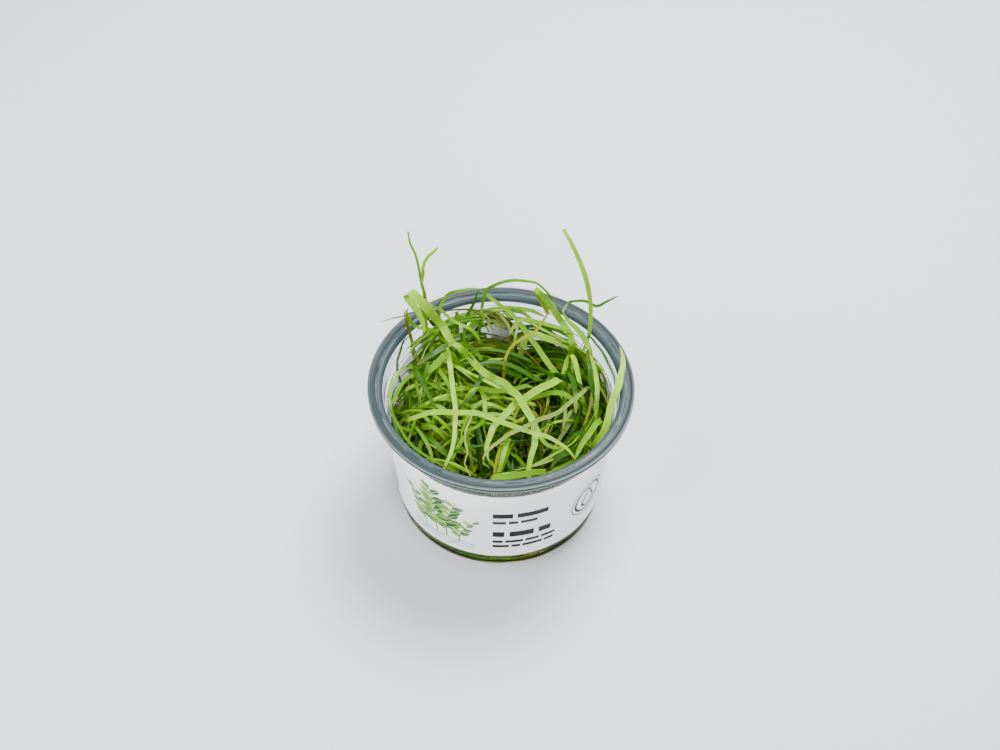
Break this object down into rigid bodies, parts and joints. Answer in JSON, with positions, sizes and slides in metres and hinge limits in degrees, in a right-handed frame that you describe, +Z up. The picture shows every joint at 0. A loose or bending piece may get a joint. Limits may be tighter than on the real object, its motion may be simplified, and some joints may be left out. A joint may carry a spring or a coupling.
{
  "type": "potted lesser creeping rush",
  "caption": "Tangled mat of narrow green rush leaves growing in a round clear plastic culture tub with a paper-white label sleeve.",
  "frame": {"origin": "on the tub's axis, on the underside of its base", "axes": "+Z up along the tub's axis, -Y towards the front of the tub, +X to the right as seen from the front"},
  "size_m": [0.101, 0.101, 0.1051],
  "materials": {
    "clear_tub": "gloss",
    "label_film": "satin",
    "roots": "matte",
    "leaf_mat": "satin",
    "lime_leaf": "satin",
    "green_leaf": "satin",
    "deep_leaf": "satin",
    "pale_leaf": "satin",
    "white_leaf": "satin",
    "olive_leaf": "satin",
    "yellow_leaf": "satin"
  },
  "bodies": {
    "root": {"tub": "clear_tub", "label": "label_film", "root_mat": "roots", "leaf_mat": "leaf_mat", "hollow_leaf_back": "olive_leaf", "back_arc_low": "lime_leaf", "back_arc_dark": "deep_leaf", "back_arc_olive": "olive_leaf", "back_leaf_broad": "lime_leaf", "back_left_stem": "green_leaf", "back_leaf_white": "white_leaf", "hollow_arc": "green_leaf", "thin_leaf_right_wall": "pale_leaf", "pale_leaf_back_right": "pale_leaf", "leaf_back_to_right": "lime_leaf", "back_left_arc": "lime_leaf", "back_left_arc_pale": "olive_leaf", "back_left_drop": "green_leaf", "stub_leaf_back_left": "lime_leaf", "folded_leaf_back": "pale_leaf", "top_arc": "lime_leaf", "right_strip": "lime_leaf", "kinked_thin_leaf": "green_leaf", "tall_leaf_right": "pale_leaf", "tall_leaf_left": "lime_leaf", "tall_leaf_left_side": "lime_leaf", "thin_leaf_over_left_rim": "olive_leaf", "left_loop": "lime_leaf", "olive_leaf_left": "olive_leaf", "folded_leaf_left": "pale_leaf", "thin_pale_leaf_left": "pale_leaf", "dark_leaf_left": "deep_leaf", "left_wall_leaf": "pale_leaf", "left_diagonal_leaf": "lime_leaf", "left_lip_thin_leaf": "lime_leaf", "left_green_diagonal": "green_leaf", "left_arc_upper": "green_leaf", "left_arc_lower": "lime_leaf", "upright_pale_leaf": "pale_leaf", "long_diagonal_side": "lime_leaf", "level_lime_leaf": "lime_leaf", "green_cross_leaf": "green_leaf", "hooked_leaf": "lime_leaf", "thread_leaf": "white_leaf", "yellow_cross_leaf": "yellow_leaf", "broad_leaf_side": "lime_leaf", "broad_leaf_to_front": "pale_leaf", "long_diagonal_leaf": "pale_leaf", "front_loop_leaf": "pale_leaf", "level_pale_leaf": "pale_leaf", "white_arc_leaf": "white_leaf", "looped_leaf_right": "pale_leaf", "right_stem_green": "green_leaf", "right_stem_pale": "pale_leaf", "right_green_bend": "green_leaf", "right_wall_leaf": "green_leaf", "pale_leaf_over_right_rim": "pale_leaf", "right_lime_front": "lime_leaf", "front_green_broad": "green_leaf", "front_lip_leaf": "lime_leaf"}
  },
  "joints": []
}
